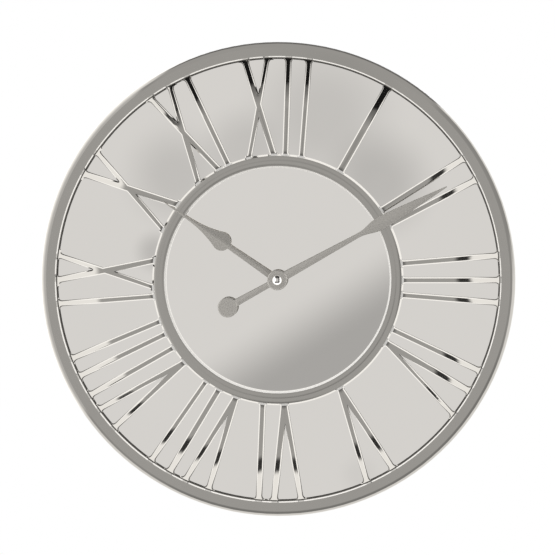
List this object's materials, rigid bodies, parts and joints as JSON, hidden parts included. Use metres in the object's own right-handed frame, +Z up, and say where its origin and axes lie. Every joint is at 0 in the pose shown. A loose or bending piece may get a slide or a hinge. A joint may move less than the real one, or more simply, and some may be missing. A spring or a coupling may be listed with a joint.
{
  "type": "wall clock",
  "caption": "Round wall clock with a mirror dial, openwork Roman numerals between a metal rim and an inner ring, spade and leaf hands, and a battery quartz movement.",
  "frame": {"origin": "centre of the hanger's round keyhole entry, on its wall side", "axes": "+Y towards the wall, +Z up to twelve o'clock, +X to three o'clock; the dial faces -Y"},
  "size_m": [0.4999, 0.0466, 0.5],
  "materials": {
    "rim_metal": "polished, nickel plated",
    "numeral_metal": "polished, nickel plated",
    "hand_metal": "satin, nickel plated",
    "cap_metal": "bright",
    "mirror": "silvered glass",
    "board": "bare fibreboard",
    "steel": "zinc plated",
    "rubber": "matt",
    "case_plastic": "moulded",
    "gear_plastic": "moulded",
    "brass": "turned and cut",
    "magnet": "sintered",
    "copper": "enamelled winding",
    "board_laminate": "laminate",
    "can_metal": "nickel plated",
    "cell_wrap": "plain wrapped can"
  },
  "bodies": {
    "clock": {"outer_rim": "rim_metal", "inner_ring": "rim_metal", "numeral_1": "numeral_metal", "numeral_2": "numeral_metal", "numeral_3": "numeral_metal", "numeral_4": "numeral_metal", "numeral_5": "numeral_metal", "numeral_6": "numeral_metal", "numeral_7": "numeral_metal", "numeral_8": "numeral_metal", "numeral_9": "numeral_metal", "numeral_10": "numeral_metal", "numeral_11": "numeral_metal", "numeral_12": "numeral_metal", "mirror_glass": "mirror", "backboard": "board", "back_screws": "steel", "hanger_bracket": "steel", "hanger_screws": "steel", "dial_gasket": "rubber", "movement_plate": "case_plastic", "movement_case": "case_plastic", "bushing_washer": "brass", "bushing_nut": "brass", "stator": "steel", "coil": "copper", "circuit_board": "board_laminate", "quartz_crystal": "can_metal", "battery": "cell_wrap", "positive_contact": "can_metal", "negative_contact": "can_metal"},
    "minute": {"centre_wheel": "brass", "minute_hand": "hand_metal", "cap_nut": "cap_metal"},
    "hour": {"hour_wheel": "brass", "hour_hand": "hand_metal"},
    "motion": {"motion_wheel": "brass", "setting_knob": "case_plastic"},
    "third": {"third_wheel": "brass"},
    "seconds": {"seconds_wheel": "brass"},
    "fifth": {"fifth_wheel": "gear_plastic"},
    "rotor": {"rotor": "magnet"}
  },
  "joints": [
    {"name": "minute_turn", "type": "hinge", "parent": "clock", "child": "minute", "pos_m": [0, 0, -0.205], "axis": [0, 1, 0], "continuous": true},
    {"name": "hour_turn", "type": "hinge", "parent": "clock", "child": "hour", "pos_m": [0, 0, -0.205], "axis": [0, 1, 0], "continuous": true},
    {"name": "motion_turn", "type": "hinge", "parent": "clock", "child": "motion", "pos_m": [0.006, 0, -0.19461], "axis": [0, 1, 0], "continuous": true},
    {"name": "third_turn", "type": "hinge", "parent": "clock", "child": "third", "pos_m": [-0.0106, 0, -0.19888], "axis": [0, 1, 0], "continuous": true},
    {"name": "seconds_turn", "type": "hinge", "parent": "clock", "child": "seconds", "pos_m": [0, 0, -0.205], "axis": [0, 1, 0], "continuous": true},
    {"name": "fifth_turn", "type": "hinge", "parent": "clock", "child": "fifth", "pos_m": [0.00677, 0, -0.20254], "axis": [0, 1, 0], "continuous": true},
    {"name": "rotor_turn", "type": "hinge", "parent": "clock", "child": "rotor", "pos_m": [0.01334, 0, -0.20014], "axis": [0, 1, 0], "continuous": true}
  ],
  "couplings": [
    {"joint": "hour_turn", "follows": "minute_turn", "ratio": 0.083333},
    {"joint": "motion_turn", "follows": "minute_turn", "ratio": -0.33333},
    {"joint": "third_turn", "follows": "minute_turn", "ratio": -8},
    {"joint": "seconds_turn", "follows": "minute_turn", "ratio": 60},
    {"joint": "fifth_turn", "follows": "minute_turn", "ratio": -300},
    {"joint": "rotor_turn", "follows": "minute_turn", "ratio": 1800}
  ]
}
